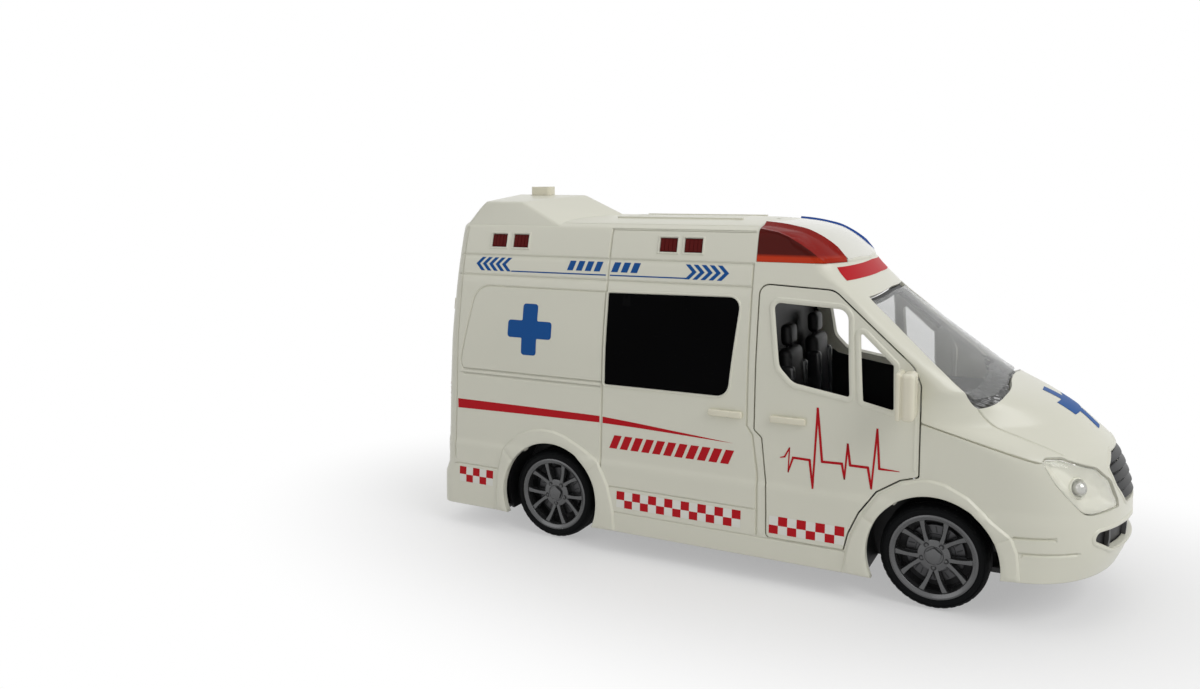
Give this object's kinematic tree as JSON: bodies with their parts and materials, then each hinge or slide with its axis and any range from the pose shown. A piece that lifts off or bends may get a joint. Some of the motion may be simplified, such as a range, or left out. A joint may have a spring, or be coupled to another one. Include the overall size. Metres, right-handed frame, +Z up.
{
  "type": "toy ambulance",
  "caption": "High-roof toy van ambulance with hinged cab doors, steering front wheels, a geared motor drive on the rear axle and a push button on the roof.",
  "frame": {"origin": "on the ground, under the middle of the bounding box", "axes": "+X towards the nose, +Y to the vehicle's left, +Z up"},
  "size_m": [0.266, 0.106, 0.145],
  "materials": {
    "shell_cream": "satin moulded plastic",
    "trim_cream": "glossy moulded plastic",
    "black_plastic": "satin moulded plastic",
    "grey_plastic": "satin moulded plastic",
    "black_pane": "glossy",
    "smoke_pane": "clear smoke-grey",
    "clear_lens": "clear",
    "reflector": "pearly metallised",
    "red_lens": "tinted clear",
    "blue_lens": "tinted clear",
    "tyre_rubber": "matte",
    "rim_gunmetal": "metallic paint",
    "steel": "plain",
    "motor_can": "plated",
    "gear_nylon": "natural",
    "pinion_brass": "plain",
    "cell_wrap": "plain wrap",
    "board": "lacquered",
    "led": "clear"
  },
  "bodies": {
    "vehicle": {"body_shell": "shell_cream", "chassis_base": "black_plastic", "front_grille": "grey_plastic", "lower_intake": "grey_plastic", "headlight_lenses": "clear_lens", "headlight_reflectors": "reflector", "windshield": "smoke_pane", "side_windows": "black_pane", "rear_windows": "black_pane", "tail_lights": "red_lens", "lightbar_lens_red": "red_lens", "lightbar_lens_blue": "blue_lens", "marker_lenses": "red_lens", "interior_tub": "black_plastic", "front_seats": "black_plastic", "dashboard": "black_plastic", "steering_wheel": "black_plastic", "circuit_board": "board", "speaker": "grey_plastic", "leds": "led", "gearbox_case": "black_plastic", "gearbox_cover": "black_plastic", "drive_motor": "motor_can", "countershaft": "steel", "battery_cells": "cell_wrap", "battery_contacts": "steel", "battery_cover": "black_plastic", "chassis_screws": "steel", "switch_body": "grey_plastic", "steering_servo": "black_plastic", "kingpins": "steel", "door_hinge_pins": "steel", "sliding_door_handles": "trim_cream", "button_switch": "board"},
    "rear_wheels": {"rear_axle": "steel", "axle_gear": "gear_nylon", "rear_rim_left": "rim_gunmetal", "rear_rim_right": "rim_gunmetal", "rear_tyre_left": "tyre_rubber", "rear_tyre_right": "tyre_rubber"},
    "middle_gear": {"middle_gear": "gear_nylon"},
    "motor_pinion": {"motor_pinion": "pinion_brass"},
    "knuckle_left": {"knuckle_left": "black_plastic"},
    "knuckle_right": {"knuckle_right": "black_plastic"},
    "front_wheel_left": {"front_rim_left": "rim_gunmetal", "front_tyre_left": "tyre_rubber"},
    "front_wheel_right": {"front_rim_right": "rim_gunmetal", "front_tyre_right": "tyre_rubber"},
    "tie_rod": {"tie_rod": "black_plastic"},
    "servo_horn": {"servo_horn": "gear_nylon"},
    "cab_door_left": {"cab_door_left": "shell_cream", "mirror_left": "trim_cream", "door_handle_left": "trim_cream"},
    "cab_door_right": {"cab_door_right": "shell_cream", "mirror_right": "trim_cream", "door_handle_right": "trim_cream"},
    "roof_button": {"roof_button": "trim_cream"},
    "switch_slider": {"switch_slider": "black_plastic"}
  },
  "joints": [
    {"name": "rear_axle_spin", "type": "hinge", "parent": "vehicle", "child": "rear_wheels", "pos_m": [-0.078, 0, 0.0183], "axis": [0, 1, 0], "continuous": true},
    {"name": "middle_gear_spin", "type": "hinge", "parent": "vehicle", "child": "middle_gear", "pos_m": [-0.07333, 0, 0.0264], "axis": [0, 1, 0], "continuous": true},
    {"name": "motor_pinion_spin", "type": "hinge", "parent": "vehicle", "child": "motor_pinion", "pos_m": [-0.06472, 0, 0.02823], "axis": [0, 1, 0], "continuous": true},
    {"name": "steer_left", "type": "hinge", "parent": "vehicle", "child": "knuckle_left", "pos_m": [0.073, 0.027, 0.0183], "axis": [0, 0, 1], "range_deg": [-15, 15]},
    {"name": "steer_right", "type": "hinge", "parent": "vehicle", "child": "knuckle_right", "pos_m": [0.073, -0.027, 0.0183], "axis": [0, 0, 1], "range_deg": [-15, 15]},
    {"name": "servo_turn", "type": "hinge", "parent": "vehicle", "child": "servo_horn", "pos_m": [0.073, 0, 0.025], "axis": [0, 0, 1], "range_deg": [-15, 15]},
    {"name": "tie_rod_slide", "type": "slide", "parent": "vehicle", "child": "tie_rod", "axis": [0, 1, 0], "range_m": [-0.0024, 0.0024]},
    {"name": "front_wheel_left_spin", "type": "hinge", "parent": "knuckle_left", "child": "front_wheel_left", "pos_m": [0.073, 0.034, 0.0183], "axis": [0, 1, 0], "continuous": true},
    {"name": "front_wheel_right_spin", "type": "hinge", "parent": "knuckle_right", "child": "front_wheel_right", "pos_m": [0.073, -0.034, 0.0183], "axis": [0, 1, 0], "continuous": true},
    {"name": "cab_door_left_hinge", "type": "hinge", "parent": "vehicle", "child": "cab_door_left", "pos_m": [0.0666, 0.04207, 0.047], "axis": [0, -0.0681, 0.9977], "range_deg": [-60, 0]},
    {"name": "cab_door_right_hinge", "type": "hinge", "parent": "vehicle", "child": "cab_door_right", "pos_m": [0.0666, -0.04207, 0.047], "axis": [0, 0.0681, 0.9977], "range_deg": [0, 60]},
    {"name": "roof_button_press", "type": "slide", "parent": "vehicle", "child": "roof_button", "axis": [0, 0, -1], "range_m": [0, 0.0015], "stiffness_N_per_m": 300, "springref_m": -0.001},
    {"name": "switch_slide", "type": "slide", "parent": "vehicle", "child": "switch_slider", "axis": [1, 0, 0], "range_m": [0, 0.003]}
  ],
  "couplings": [
    {"joint": "middle_gear_spin", "follows": "rear_axle_spin", "ratio": -2.4},
    {"joint": "motor_pinion_spin", "follows": "rear_axle_spin", "ratio": 5.28},
    {"joint": "steer_right", "follows": "steer_left", "ratio": 1},
    {"joint": "servo_turn", "follows": "steer_left", "ratio": 1},
    {"joint": "tie_rod_slide", "follows": "steer_left", "m_per_rad": -0.009}
  ]
}
